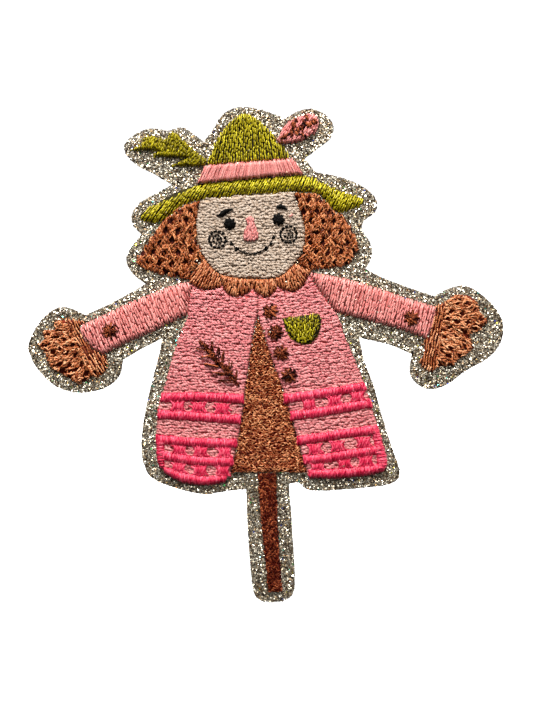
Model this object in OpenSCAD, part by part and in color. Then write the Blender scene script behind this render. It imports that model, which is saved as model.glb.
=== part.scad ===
// Scarecrow patch: an embroidered figure on a die-cut piece of glitter cloth, with a hot-melt film
// on its back. The patch stands upright, with its front towards -Y and its back face in the plane
// y = 0. Points are [x, z] in millimetres from the middle of the back face.

/* [Size] */
// Height of the whole patch
patch_height = 79.4; // [70:0.1:90]

/* [Layers, from the back to the front] */
// Hot-melt film on the back
film_t = 0.15; // [0.1:0.05:0.25]
// Tear-away stabiliser
stabiliser_t = 0.4; // [0.3:0.05:0.6]
// Bobbin thread, let into the back of the stabiliser
bobbin_t = 0.15; // [0.1:0.05:0.2]
// Base cloth
cloth_t = 0.5; // [0.4:0.05:0.8]
// Glitter and its binder
glitter_t = 0.2; // [0.15:0.05:0.3]
// Fill stitching: face, hair, coat, hands
fill_t = 0.7; // [0.5:0.05:0.9]
// Satin stitching: brim, band, feathers, sleeves
satin_t = 1; // [0.8:0.05:1.2]
// Details stitched over a fill
detail_t = 0.4; // [0.2:0.05:0.5]

/* [Details] */
// Radius of a coat or cuff button
button_r = 1.3; // [1.1:0.05:1.45]
// How far a button's points reach in from that radius
button_notch = 0.45; // [0.2:0.05:0.6]
// Number of points on a button
button_points = 8; // [6:1:10]
// Radius of an eye
eye_r = 0.9; // [0.7:0.05:1]
// Outer radius of a cheek swirl
cheek_r = 1.45; // [1.2:0.05:1.5]
// Width of one line of outline thread
line_w = 0.3; // [0.2:0.05:0.4]

/* [Hidden] */

// The outlines below are drawn for a patch of this height
drawn_height = 79.4;
grow = patch_height / drawn_height;
// Straight lines that stand for one curved span
span_steps = 3;

// Depth, from the back face, at which each layer starts
stabiliser_y = film_t;
cloth_y = stabiliser_y + stabiliser_t;
glitter_y = cloth_y + cloth_t;
thread_y = glitter_y + glitter_t;
over_fill_y = thread_y + fill_t;
over_satin_y = thread_y + satin_t;

// Outlines run through their points in smooth curves. A third value of 1 marks a sharp corner.
function point(p) = [p[0], p[1]] * grow;
function is_corner(p) = len(p) == 3;
function unit(v) = v / norm(v);
function wrap(loop, i) = loop[(i + len(loop)) % len(loop)];
function heading(loop, i, way) =
    let (before = point(wrap(loop, i - 1)), here = point(wrap(loop, i)), after = point(wrap(loop, i + 1)))
    !is_corner(wrap(loop, i)) ? unit(after - before) : way > 0 ? unit(after - here) : unit(here - before);
function curve(a, b, from, to, t) =
    let (reach = norm(b - a))
    (2 * t ^ 3 - 3 * t ^ 2 + 1) * a + (t ^ 3 - 2 * t ^ 2 + t) * reach * from
    + (3 * t ^ 2 - 2 * t ^ 3) * b + (t ^ 3 - t ^ 2) * reach * to;
function steps(loop, i) = is_corner(wrap(loop, i)) && is_corner(wrap(loop, i + 1)) ? 1 : span_steps;
function smooth(loop) = [
    for (i = [0 : len(loop) - 1], s = [0 : steps(loop, i) - 1])
        curve(point(wrap(loop, i)), point(wrap(loop, i + 1)), heading(loop, i, 1), heading(loop, i + 1, -1),
              s / steps(loop, i))
];
// A line of even width along a list of points
function side_of(path, i, offset) =
    let (before = path[max(i - 1, 0)], after = path[min(i + 1, len(path) - 1)], along = unit(after - before))
    path[i] * grow + [along[1], -along[0]] * offset;
function ribbon(path, width) = concat(
    [for (i = [0 : len(path) - 1]) side_of(path, i, width / 2)],
    [for (i = [len(path) - 1 : -1 : 0]) side_of(path, i, -width / 2)]
);

module layer(from, thick) rotate([90, 0, 0]) translate([0, 0, from]) linear_extrude(thick) children();
module shape(loop) polygon(smooth(loop));
module line(path, width = line_w) polygon(ribbon(path, width));

BASE = [
    [-22.8, 33.2], [-21.7, 35], [-18.8, 36.4], [-15.7, 36.1], [-13.4, 36.6], [-11.3, 35.3], [-10, 34.3, 1],
    [-8.6, 36], [-7, 38.6], [-4.6, 39.8], [-1.5, 39.6], [1.2, 38.7], [3, 38, 1],
    [5, 39.1], [7.2, 39.6], [9.6, 38.6], [10.8, 36.8], [10.3, 34.9], [8.4, 33.4], [6.2, 31.7, 1],
    [7.9, 29.4, 1], [12, 28.6], [16, 26.8], [17.8, 24.8], [17.5, 23], [15.7, 21.7], [15.4, 20.3], [16.6, 18.2],
    [17, 16], [15.9, 13.9, 1], [18, 12.8], [22, 11.2], [27, 9.5, 1], [29, 10.6], [32, 11.2], [35.5, 9],
    [37.9, 5.8], [37.8, 2.4], [35.9, -0.2], [32, -2.5], [29, -4.7], [26.5, -5.4], [24.3, -4.6], [23.1, -2.6],
    [23.5, 0.2, 1], [20, 1.7], [14.9, 2.9, 1], [15.7, -0.5], [17.3, -5], [18.7, -10], [20.3, -15],
    [21.4, -18.2], [21.2, -19.8], [19.6, -20.7], [14, -21.4], [8, -21.7], [6.4, -21.4], [5.2, -20.4],
    [3.7, -20.6, 1], [4.2, -28], [4.6, -37], [3.7, -39], [0.6, -39.6], [-1.4, -39], [-2.1, -37.4],
    [-2.8, -30], [-3.2, -21.4, 1], [-6.5, -21.8], [-9.8, -22.3], [-14.6, -21.2], [-18.6, -19.4], [-19.9, -16],
    [-19.7, -11], [-18.4, -4.6], [-17.3, -0.5], [-16.6, 2.8, 1], [-20, 1.1], [-23, -0.7, 1], [-23.7, -3.5],
    [-26.4, -5.4], [-31, -5.9], [-35, -4], [-38.1, 0.7], [-37.2, 4], [-34.9, 6.8], [-32.4, 7.8],
    [-29, 6.5, 1], [-24, 8.8], [-19.3, 11.5, 1], [-21.6, 13.4], [-22.4, 15.8], [-20, 19.4, 1],
    [-21.6, 21.6], [-20.6, 24.2], [-17.6, 26], [-15, 27.4, 1], [-17.8, 29.1], [-21, 30.8]
];

// Hat
CROWN = [
    [-9.9, 30.2, 1], [-9, 32], [-7.6, 35.2], [-5.3, 37.9], [-3.4, 38.8], [-1.4, 37.9], [1.2, 35.5],
    [3.2, 33], [4.1, 31.2, 1]
];
BAND = [
    [-10, 30.4, 1], [-5, 30.8], [0, 31.2], [4.3, 31.5, 1], [5.3, 30.2], [6.3, 28.6, 1], [0, 27.9], [-6, 27.3],
    [-11.4, 26.8, 1], [-10.6, 28.6]
];
BRIM = [
    [-20.4, 22.2], [-19, 23.7], [-15, 26], [-11.6, 27.4], [-8, 27.9], [0, 28.6], [6.2, 29], [8.8, 27.9],
    [12.4, 26.3], [15.7, 25.2], [15.6, 24.2], [12.6, 23], [11, 23], [9.6, 24.7], [7.8, 26], [0, 25.9],
    [-6, 25.4], [-11.4, 24.7], [-14.2, 23.5], [-16, 21.9], [-17.4, 21.3], [-19.4, 21.4]
];
LEAF = [
    [-21.7, 33, 1], [-20, 33.9], [-19.4, 35], [-18, 35.1], [-16, 34.6, 1], [-14.9, 35.8], [-13.3, 34.6],
    [-11, 32.6], [-9.3, 31.2, 1], [-10, 30.3, 1], [-15, 30.5, 1], [-12.6, 31.7, 1], [-18.2, 31.9, 1],
    [-17.2, 32.9, 1]
];
PINK_FEATHER = [
    [1.7, 34.5, 1], [2.6, 36.3], [4.3, 37.8], [7, 38.8], [8.3, 38.1], [8.3, 36.4], [6.9, 35.1], [4.8, 34.2],
    [2.7, 34], [2.1, 34]
];
// Centre lines of the veins: the quill and then its barbs
FEATHER_VEINS = [
    [[2.3, 34.6], [4.6, 35.9], [6.4, 36.8], [7.9, 37.5]], [[4.1, 36], [4.4, 36.9], [4.9, 37.9]],
    [[5.8, 36.8], [6.2, 37.5], [6.7, 38.4]], [[4.6, 35.5], [5.5, 35.4], [6.4, 35.2]]
];

// Head
HAIR_LEFT = [
    [-9.5, 25.5, 1], [-15, 23.3], [-16.6, 21.6], [-18, 19.6], [-20, 16.8], [-20.8, 15], [-19.4, 13.8],
    [-16.5, 12.9], [-12.5, 12.2], [-8, 11.8], [-6.5, 13, 1], [-7, 20, 1]
];
HAIR_RIGHT = [
    [3.6, 26.3, 1], [8, 26], [10.3, 24], [12.5, 22.4], [13.9, 20.2], [14.9, 17.2], [14.2, 15.9], [13.1, 14.5],
    [10, 14], [7.2, 13.7], [4.5, 12.6, 1], [3, 14, 1], [3, 20, 1]
];
FACE = [
    [-10.6, 24.5], [-11.1, 21.5], [-11, 18.6], [-9.9, 15.8], [-8, 13.5], [-5.5, 12.6], [-1.3, 12.3], [2, 12.6],
    [4, 14.2], [5.6, 16.3], [6.3, 19], [5.9, 21.7], [4.6, 25], [4.2, 27.2], [-3, 27.2], [-10, 26]
];
EYE_LEFT = [-5.8, 21.1];
EYE_RIGHT = [2, 21.8];
BROW_LEFT = [[-7.8, 22.3, 1], [-7.1, 23.1], [-6.1, 23.5], [-5.2, 23.5, 1], [-6.2, 22.9], [-6.9, 22.3]];
BROW_RIGHT = [[1.5, 23.7, 1], [2.1, 24.1], [2.7, 24.1], [3.5, 23.3, 1], [2.6, 23.5], [2.1, 23.5]];
NOSE = [
    [-3, 22.1], [-2.1, 22.1], [-1.8, 20.9], [-1.3, 19.8], [-1.4, 18.6], [-2.5, 18.3], [-3.5, 18.5],
    [-3.5, 19.6], [-3.1, 20.8]
];
MOUTH = [
    [-5.9, 18.4], [-5.4, 17.9], [-4.9, 17.3], [-4, 16.7], [-3.2, 16.4], [-2.4, 16.3], [-1.5, 16.4],
    [-0.6, 16.8], [0.2, 17.3], [0.8, 18], [1.2, 19]
];
CHEEK_LEFT = [-7.9, 18.5];
CHEEK_RIGHT = [3.5, 19.3];
cheek_turns = 2.25;
cheek_steps = 12;
cheek_inner = 0.35;

// Collar: each scallop reaches up under the face
SCALLOPS = [
    [[-12.4, 12], [-11.4, 11], [-10, 10.5], [-8, 10.7], [-6.5, 11.3, 1], [-5, 14, 1], [-10, 15.5, 1]],
    [[-7.6, 13.6, 1], [-7, 11], [-6.2, 9.9], [-4.8, 9.3], [-3.4, 9.7], [-2.1, 10.6, 1], [-2.1, 13, 1]],
    [[-2.1, 13, 1], [-2.1, 10.6], [-1.2, 9.8], [0.2, 9.3], [1.3, 10], [1.9, 11.2, 1], [2.1, 13, 1]],
    [[1, 13, 1], [1.8, 11], [3, 10.4], [4.3, 10.2], [5.6, 10.8], [6.5, 11.9], [7.2, 13.6, 1], [3.2, 15.5, 1]]
];

// Arms
SLEEVE_LEFT = [
    [-29.7, 4.8, 1], [-25, 7], [-20, 9.3], [-15, 11.2], [-11.6, 12.1, 1], [-9, 11, 1], [-10, 7, 1],
    [-13.2, 6.3, 1], [-18, 3.9], [-22.5, 1.9], [-26.2, 0.1, 1], [-28, 1.3], [-29.2, 2.8], [-29.8, 4]
];
SLEEVE_RIGHT = [
    [6.6, 13.4, 1], [10, 12.9], [14, 12], [18, 10.8], [22, 9.4], [27.2, 7.8, 1], [26.8, 5.4], [25.8, 2.6, 1],
    [22, 4], [18, 5.1], [14, 6.2], [10.8, 7, 1], [7.8, 7.8, 1], [6.2, 11.5, 1]
];
HAND_LEFT = [
    [-29.5, 5.6, 1], [-31.5, 5.9], [-33.8, 5.4], [-34, 4.3, 1], [-36, 3.9, 1], [-35.5, 2.7, 1], [-36.6, 1.8, 1],
    [-35.5, 0.3], [-35, -1, 1], [-34.6, -2.1, 1], [-33, -3, 1], [-31.5, -3.8, 1], [-30.1, -4.6, 1],
    [-28.8, -4.2], [-28, -3.3, 1], [-26.9, -3.7, 1], [-25.4, -2.1], [-25.6, 0, 1], [-27, 3, 1]
];
HAND_RIGHT = [
    [26.4, 7.6, 1], [28.3, 8.4], [30, 9.6, 1], [31.5, 9.9], [33.3, 9.3], [34.2, 8, 1], [34.5, 6.8],
    [35.8, 5.6, 1], [34.5, 4.2], [32.6, 3.3, 1], [33.6, 1.2, 1], [32.2, 0.1], [31, -0.5, 1], [30, -1.8, 1], [27.9, -1.9],
    [26.5, -2.8, 1], [24.8, -1.7], [25.2, 0.5], [25.4, 2.8, 1]
];
CUFF_BUTTON_LEFT = [-25, 4];
CUFF_BUTTON_RIGHT = [23.3, 6];

// Body
COAT = [
    [-11.5, 12.4, 1], [-12.3, 9], [-12.6, 6], [-13.6, 3.8], [-14.9, 0], [-16.1, -4.4], [-17, -7],
    [-17.5, -10.5], [-17.6, -15], [-17.2, -17.4], [-15.6, -19.2], [-13, -20.4], [-10, -20.8], [-6.6, -20.3, 1],
    [-5.4, -18.8, 1], [6.4, -18.8, 1], [7, -19.6, 1], [12, -19.6], [18.4, -18.7], [19.4, -17.2],
    [18.7, -14], [17.6, -10.5], [16.8, -7.6], [15.8, -4.6], [13.9, 0], [12.6, 3.2], [11.5, 6.3], [10.6, 7.6],
    [8.4, 10.6], [7, 12.6], [6.6, 13.6, 1], [0, 12, 1], [-8, 13, 1]
];
DRESS = [
    [-1.3, 6.9, 1], [-1, 5.4], [0, 2.4], [1.3, -1.5], [2.6, -5], [3.7, -8.5], [4.8, -12.4], [5.8, -16],
    [6.6, -18.8, 1], [-5.7, -18.8, 1], [-5, -16], [-4.3, -12.4], [-3.7, -8.5], [-3.3, -5], [-2.8, -1.5],
    [-2.2, 2.4], [-1.6, 5.4]
];
// The coat's two fronts meet along this line, from the top of the dress up to the collar
COAT_FRONT_X = -1.3;
COAT_BUTTONS = [[0.7, 7.1], [1.5, 3.7], [2.4, 0.4], [3.7, -3.2]];
POCKET = [
    [2.5, 6, 1], [5.4, 6.4], [8.5, 6.7], [8.9, 5.2], [8.4, 3.2], [7, 1.9], [5.6, 1.8], [4.2, 2.5], [3.1, 4.1]
];
// Each straw of the sprig is one straight stitch: where it starts and where it ends
SPRIG_STRAWS = [
    [[-10.7, 2.4], [-8.5, -0.5]], [[-11.2, 1.3], [-8.4, 0.6]], [[-8.9, 2.3], [-8, -0.2]],
    [[-8.5, -0.5], [-6.6, -2.4]], [[-10.8, -0.4], [-7.8, -1]], [[-7.6, 1.2], [-6.9, -1.6]],
    [[-6.6, -2.4], [-4.8, -4.3]], [[-9.8, -1.2], [-6.6, -2.2]], [[-6, -0.9], [-5.7, -3.2]],
    [[-9, -2.7], [-5.8, -3.2]], [[-7.6, -3.9], [-5, -4]], [[-4.6, -2.3], [-4.9, -4]]
];
straw_w = 0.42;

// Plaid bands. A stripe is the line that a raised satin bar follows
stripe_w = 1.6;
STRIPES_LEFT = [
    [[-17, -6.8], [-12, -6.6], [-8, -6.7], [-3.5, -7]], [[-17.6, -9.4], [-12, -9.7], [-8, -10], [-4, -10.3]]
];
STRIPES_RIGHT = [
    [[2.8, -7], [7, -6.4], [12, -5.6], [16, -4.9]], [[3.9, -9.7], [8, -9.2], [12, -8.5], [16.9, -7.6]]
];
HEM_LEFT = [
    [[-17.8, -13.4], [-13, -13.8], [-9, -14], [-4.7, -14.1]],
    [[-16.6, -16], [-12, -16.8], [-9, -17], [-5.3, -17]],
    [[-17.2, -18.3], [-14, -19.4], [-10, -20.1], [-6.2, -19.9]],
    [[-17, -14], [-17.1, -16], [-16.9, -18.4]]
];
HEM_RIGHT = [
    [[5, -13.7], [9, -13.1], [13, -12.4], [18.2, -11.9]],
    [[6, -16.8], [10, -16.4], [14, -15.7], [17.8, -15.2]],
    [[6.8, -19], [10, -19], [14, -18.7], [19, -18]],
    [[17.7, -12], [18.3, -15], [18.7, -18]]
];
// Hot-pink blocks between the stripes: [x, z] of each one's middle, and the way each side's rows lean
check_w = 2;
check_h = 1.1;
lean_left = -2;
lean_right = 7;
UPPER_CHECKS_LEFT = [[-14.1, -8.1], [-10.8, -8.3], [-7, -8.5]];
UPPER_CHECKS_RIGHT = [[6.9, -7.8], [11, -7.2], [14.6, -6.5]];
HEM_CHECKS_LEFT = [
    [-13.9, -15.1], [-10.5, -15.3], [-6.6, -15.5], [-14, -18], [-10.5, -18.4], [-6.9, -18.4]
];
HEM_CHECKS_RIGHT = [
    [7.8, -15], [11.4, -14.5], [15.6, -13.9], [8.2, -17.9], [12.6, -17.3], [16, -16.9]
];

POLE = [
    [-1.5, -17, 1], [1.6, -17, 1], [1.9, -25], [2.2, -31], [2.7, -37.9, 1],
    [0.3, -38, 1], [-0.4, -31], [-1, -25]
];

olive = [0.62, 0.6, 0.13];
rust = [0.62, 0.3, 0.14];
copper = [0.75, 0.45, 0.25];
pink = [0.86, 0.5, 0.53];
hot_pink = [0.86, 0.2, 0.38];
dark_brown = [0.32, 0.1, 0.06];
black = [0.05, 0.05, 0.05];

module crown_area() shape(CROWN);
module band_area() shape(BAND);
module brim_area() shape(BRIM);
module face_area() shape(FACE);
module coat_area() shape(COAT);
module dress_area() shape(DRESS);
module collar_area() for (scallop = SCALLOPS) shape(scallop);
module button_area(middle) polygon([
    for (i = [0 : 2 * button_points - 1])
        middle * grow + (i % 2 == 0 ? button_r : button_r - button_notch) * grow
        * [cos(i * 180 / button_points), sin(i * 180 / button_points)]
]);
// A round of outline thread that winds in from the cheek's rim to its middle
module cheek_area(middle) line([
    for (i = [0 : cheek_turns * cheek_steps])
        let (r = cheek_r - line_w / 2 - (cheek_r - line_w / 2 - cheek_inner) * i / (cheek_turns * cheek_steps))
        middle + r * [cos(i * 360 / cheek_steps), sin(i * 360 / cheek_steps)]
]);
module check_areas(middles, lean)
    for (m = middles) translate(m * grow) rotate(lean) square([check_w, check_h] * grow, center = true);
module stripe_areas(paths) for (path = paths) line(path, stripe_w);
// Everything that is stitched, as one shape
module stitched_area() {
    for (loop = [CROWN, BAND, BRIM, LEAF, PINK_FEATHER, HAIR_LEFT, HAIR_RIGHT, FACE]) shape(loop);
    for (loop = [SLEEVE_LEFT, SLEEVE_RIGHT, HAND_LEFT, HAND_RIGHT, COAT, POLE]) shape(loop);
    collar_area();
}

module adhesive_film() color([0.9, 0.89, 0.86]) layer(0, film_t) shape(BASE);
module stabiliser() color([0.93, 0.92, 0.9]) difference() {
    layer(stabiliser_y, stabiliser_t) shape(BASE);
    layer(stabiliser_y, bobbin_t) stitched_area();
}
module bobbin_thread() color([0.97, 0.96, 0.94]) layer(stabiliser_y, bobbin_t) stitched_area();
module glitter_cloth() color([0.5, 0.48, 0.43]) layer(cloth_y, cloth_t) shape(BASE);
module glitter_coat() color([0.72, 0.7, 0.62]) layer(glitter_y, glitter_t) shape(BASE);

module hat_crown() color(olive) layer(thread_y, fill_t) difference() {
    crown_area();
    band_area();
    shape(PINK_FEATHER);
}
module hat_band() color(pink) layer(thread_y, satin_t) difference() {
    band_area();
    brim_area();
}
module hat_brim() color(olive) layer(thread_y, satin_t) brim_area();
module leaf_feather() color(olive) layer(thread_y, satin_t) difference() {
    shape(LEAF);
    crown_area();
    band_area();
}
module pink_feather() color(pink) layer(thread_y, satin_t) shape(PINK_FEATHER);
module pink_feather_veins() color(dark_brown) layer(over_satin_y, detail_t / 2)
    for (vein = FEATHER_VEINS) line(vein);

module hair(loop) color(rust) layer(thread_y, fill_t) difference() {
    shape(loop);
    face_area();
    brim_area();
    collar_area();
}
module face() color([0.82, 0.74, 0.66]) layer(thread_y, fill_t) difference() {
    face_area();
    brim_area();
}
module eye(middle) color(black) layer(over_fill_y, detail_t)
    translate(middle * grow) circle(eye_r * grow, $fn = 24);
module brow(loop) color(black) layer(over_fill_y, detail_t) shape(loop);
module nose() color([0.89, 0.52, 0.53]) layer(over_fill_y, detail_t) shape(NOSE);
module mouth() color(black) layer(over_fill_y, detail_t / 2) line(MOUTH);
module cheek(middle) color(black) layer(over_fill_y, detail_t / 2) cheek_area(middle);

// Each scallop lies over the one before it
module collar_scallop(number) color(copper) layer(thread_y, satin_t) difference() {
    shape(SCALLOPS[number - 1]);
    face_area();
    if (number < len(SCALLOPS)) shape(SCALLOPS[number]);
}
module sleeve(loop) color(pink) layer(thread_y, satin_t) difference() {
    shape(loop);
    coat_area();
    collar_area();
}
module hand(loop, sleeve_loop) color(rust) layer(thread_y, fill_t) difference() {
    shape(loop);
    shape(sleeve_loop);
}
module coat_front(side) color(pink) layer(thread_y, fill_t) difference() {
    coat_area();
    collar_area();
    face_area();
    dress_area();
    translate([COAT_FRONT_X * grow + (side < 0 ? 0 : -40), -30]) square([40, 60]);
}
module dress() color(copper) layer(thread_y, fill_t) dress_area();
module button(middle, from) color(dark_brown) layer(from, detail_t) button_area(middle);
module pocket() color(olive) layer(over_fill_y, detail_t) shape(POCKET);
module wheat_sprig() color(dark_brown) layer(over_fill_y, detail_t)
    for (straw = SPRIG_STRAWS) line(straw, straw_w);
module stripes(paths) color(hot_pink) layer(over_fill_y, detail_t) intersection() {
    stripe_areas(paths);
    coat_area();
}
module checks(middles, paths, lean) color(hot_pink) layer(over_fill_y, detail_t / 2) difference() {
    check_areas(middles, lean);
    stripe_areas(paths);
}
module pole() color(dark_brown) layer(thread_y, fill_t) difference() {
    shape(POLE);
    coat_area();
}

adhesive_film();
stabiliser();
bobbin_thread();
glitter_cloth();
glitter_coat();
hat_crown();
hat_band();
hat_brim();
leaf_feather();
pink_feather();
pink_feather_veins();
hair(HAIR_LEFT);  // hair_left
hair(HAIR_RIGHT);  // hair_right
face();
eye(EYE_LEFT);  // eye_left
eye(EYE_RIGHT);  // eye_right
brow(BROW_LEFT);  // brow_left
brow(BROW_RIGHT);  // brow_right
nose();
mouth();
cheek(CHEEK_LEFT);  // cheek_left
cheek(CHEEK_RIGHT);  // cheek_right
for (number = [1 : len(SCALLOPS)])
    collar_scallop(number);
sleeve(SLEEVE_LEFT);  // sleeve_left
sleeve(SLEEVE_RIGHT);  // sleeve_right
button(CUFF_BUTTON_LEFT, over_satin_y);  // cuff_button_left
button(CUFF_BUTTON_RIGHT, over_satin_y);  // cuff_button_right
hand(HAND_LEFT, SLEEVE_LEFT);  // straw_hand_left
hand(HAND_RIGHT, SLEEVE_RIGHT);  // straw_hand_right
coat_front(-1);  // coat_left
coat_front(1);  // coat_right
dress();
for (number = [1 : len(COAT_BUTTONS)])
    button(COAT_BUTTONS[number - 1], over_fill_y);
pocket();
wheat_sprig();
stripes(STRIPES_LEFT);  // upper_stripes_left
stripes(STRIPES_RIGHT);  // upper_stripes_right
checks(UPPER_CHECKS_LEFT, STRIPES_LEFT, lean_left);  // upper_checks_left
checks(UPPER_CHECKS_RIGHT, STRIPES_RIGHT, lean_right);  // upper_checks_right
stripes(HEM_LEFT);  // hem_frame_left
stripes(HEM_RIGHT);  // hem_frame_right
checks(HEM_CHECKS_LEFT, HEM_LEFT, lean_left);  // hem_checks_left
checks(HEM_CHECKS_RIGHT, HEM_RIGHT, lean_right);  // hem_checks_right
pole();
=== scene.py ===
"""Looks of the embroidered scarecrow patch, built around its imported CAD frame.

Places on the patch are in millimetres: x to the right, z up, and rise, the height above the back face.
The mesh code turns them into metres in the part's frame, where the front of the patch faces -Y.
Angles are in degrees, anticlockwise from +x as the front is seen.
"""
import math
from dataclasses import dataclass

import bpy
import numpy as np
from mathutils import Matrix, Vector, geometry


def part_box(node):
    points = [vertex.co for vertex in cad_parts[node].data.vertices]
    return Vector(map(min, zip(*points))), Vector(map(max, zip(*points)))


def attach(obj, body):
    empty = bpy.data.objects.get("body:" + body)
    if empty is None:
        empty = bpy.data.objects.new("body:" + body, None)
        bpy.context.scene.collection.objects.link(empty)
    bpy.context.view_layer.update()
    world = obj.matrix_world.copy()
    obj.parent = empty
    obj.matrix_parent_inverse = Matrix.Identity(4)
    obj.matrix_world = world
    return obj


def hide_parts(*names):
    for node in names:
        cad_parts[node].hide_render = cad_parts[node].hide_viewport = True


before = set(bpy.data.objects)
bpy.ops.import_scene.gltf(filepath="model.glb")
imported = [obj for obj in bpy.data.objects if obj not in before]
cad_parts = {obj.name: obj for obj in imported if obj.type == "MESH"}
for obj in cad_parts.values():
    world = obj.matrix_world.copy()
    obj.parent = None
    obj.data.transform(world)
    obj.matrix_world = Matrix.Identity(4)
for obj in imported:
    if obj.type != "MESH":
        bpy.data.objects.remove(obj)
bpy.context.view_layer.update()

MM = 0.001
CHANCE = 7  # what every random draw starts from


# Plane geometry

def turned(points, angle):
    """Points turned about the origin."""
    c, s = math.cos(math.radians(angle)), math.sin(math.radians(angle))
    return np.asarray(points, float) @ np.array([[c, s], [-s, c]])


def toward(angle):
    """The unit vector at an angle."""
    return turned((1, 0), angle)


def left_of(ways):
    """Ways turned to their left by a right angle."""
    return ways[..., ::-1] * (-1, 1)


def unit(ways):
    """Ways at a length of 1."""
    return ways / np.linalg.norm(ways, axis=-1, keepdims=True)


def smooth_step(t):
    """0 below 0, 1 above 1, and a smooth rise between."""
    t = np.clip(t, 0, 1)
    return t * t * (3 - 2 * t)


def finer(loop, gap):
    """A closed outline with points added so that none of its sides is longer than gap."""
    found = []
    for a, b in zip(loop, np.roll(loop, -1, axis=0)):
        parts = max(1, math.ceil(np.linalg.norm(b - a) / gap))
        found += [a + (b - a) * i / parts for i in range(parts)]
    return np.array(found)


def walk(path, gap):
    """Points at even gaps along an open path, the path's direction there, and the share of it walked."""
    path = np.asarray(path, float)
    sides = np.diff(path, axis=0)
    lengths = np.linalg.norm(sides, axis=1)
    reached = np.concatenate([[0], np.cumsum(lengths)])
    at = np.arange(gap / 2, reached[-1], gap)
    points = np.stack([np.interp(at, reached, path[:, 0]), np.interp(at, reached, path[:, 1])], axis=1)
    headings = np.degrees(np.unwrap(np.arctan2(sides[:, 1], sides[:, 0])))
    middles = (reached[:-1] + reached[1:]) / 2
    return points, np.interp(at, middles, headings), at / reached[-1]


class Area:
    """A flat area in mm, given by closed outlines. A point inside an odd number of them is in it."""

    def __init__(self, loops):
        self.loops = [np.asarray(loop, float) for loop in loops]
        self.starts = np.concatenate(self.loops)
        self.ends = np.concatenate([np.roll(loop, -1, axis=0) for loop in self.loops])
        self.low, self.high = self.starts.min(0), self.starts.max(0)
        self.middle = (self.low + self.high) / 2

    def mapped(self, change, gap=0.4):
        """The area under a change of coordinates that bends its straight sides."""
        return Area([change(finer(loop, gap)) for loop in self.loops])

    def edge_distance(self, points):
        """How far each point is from the nearest outline."""
        side = self.ends - self.starts
        square = np.maximum((side ** 2).sum(1), 1e-12)
        found = []
        for part in np.array_split(points, max(1, len(points) // 4000)):
            away = part[:, None] - self.starts[None]
            t = np.clip((away * side).sum(2) / square, 0, 1)
            found.append(np.linalg.norm(away - t[..., None] * side, axis=2).min(1))
        return np.concatenate(found)

    def holds(self, points):
        """Whether each point is inside."""
        x, z = points[:, 0, None], points[:, 1, None]
        (x1, z1), (x2, z2) = self.starts.T, self.ends.T
        crosses = (z1 <= z) != (z2 <= z)
        rise = np.where(z2 == z1, 1, z2 - z1)
        return (crosses & (x < x1 + (z - z1) / rise * (x2 - x1))).sum(1) % 2 == 1


def front_area(node):
    """The area of a CAD node's front face."""
    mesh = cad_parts[node].data
    places = np.zeros(len(mesh.vertices) * 3)
    mesh.vertices.foreach_get("co", places)
    places = places.reshape(-1, 3) / MM
    front = places[:, 1].min()
    keys = [tuple(k) for k in np.round(places[:, [0, 2]], 3)]
    sides = set()
    for face in mesh.polygons:
        corners = list(face.vertices)
        if all(abs(places[i, 1] - front) < 0.001 for i in corners):
            sides |= {(keys[a], keys[b]) for a, b in zip(corners, corners[1:] + corners[:1])}
    onward = {}
    for a, b in sorted(sides):
        if (b, a) not in sides and a != b:
            onward.setdefault(a, []).append(b)
    loops = []
    while onward:
        first = here = min(onward)
        loop = []
        while here in onward:
            loop.append(here)
            after = onward[here].pop()
            if not onward[here]:
                del onward[here]
            here = after
            if here == first:
                break
        if len(loop) > 2:
            loops.append(loop)
    return Area(loops)


def depth(node):
    """The rise of a CAD node's back and of its front."""
    low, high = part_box(node)
    return -high.y / MM, -low.y / MM


# Stitch plans: each gives where its stitches start and end

def crossings(starts, ends, offset):
    """Where the sides of an outline cross the line at one offset, in order."""
    crosses = (starts[:, 1] <= offset) != (ends[:, 1] <= offset)
    a, b = starts[crosses], ends[crosses]
    return np.sort(a[:, 0] + (offset - a[:, 1]) / (b[:, 1] - a[:, 1]) * (b[:, 0] - a[:, 0]))


def rows(area, angle, pitch, rng, wander=0.12):
    """(number, from, to, offset) of every crossing of an area by lines at an even pitch."""
    starts, ends = turned(area.starts, -angle), turned(area.ends, -angle)
    low, high = starts[:, 1].min(), starts[:, 1].max()
    found = []
    for number in range(math.floor(low / pitch), math.ceil(high / pitch)):
        offset = (number + 0.5 + wander * rng.uniform(-1, 1)) * pitch
        at = crossings(starts, ends, offset)
        found += [(number, at[i], at[i + 1], offset) for i in range(0, len(at) - 1, 2)]
    return found


def fill(area, angle, pitch, length, rng, stagger=0.38, loose=0.22, tilt=0.0, shortest=0.45):
    """Rows of stitches of about one length, with ends staggered from row to row, that lean by turns."""
    start, end = [], []
    for number, left, right, offset in rows(area, angle, pitch, rng):
        shift = number * stagger % 1
        steps = range(math.floor(left / length - shift), math.ceil(right / length - shift) + 1)
        cuts = [(k + shift + rng.uniform(-loose, loose)) * length for k in steps]
        stops = [left] + [c for c in cuts if left + shortest < c < right - shortest] + [right]
        for i, (a, b) in enumerate(zip(stops, stops[1:])):
            lean = tilt * rng.uniform(0.5, 1.5) * (1 if (i + number) % 2 else -1)
            start.append((a, offset - lean))
            end.append((b, offset + lean))
    return turned(start, angle), turned(end, angle)


def satin(area, angle, pitch, rng, ragged=0.0):
    """One stitch across the area for each row, its ends drawn out or in at random."""
    start, end = [], []
    for _, left, right, offset in rows(area, angle, pitch, rng):
        start.append((left - rng.uniform(-1, 1) * ragged, offset - pitch / 4))
        end.append((right + rng.uniform(-1, 1) * ragged, offset + pitch / 4))
    return turned(start, angle), turned(end, angle)


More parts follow.
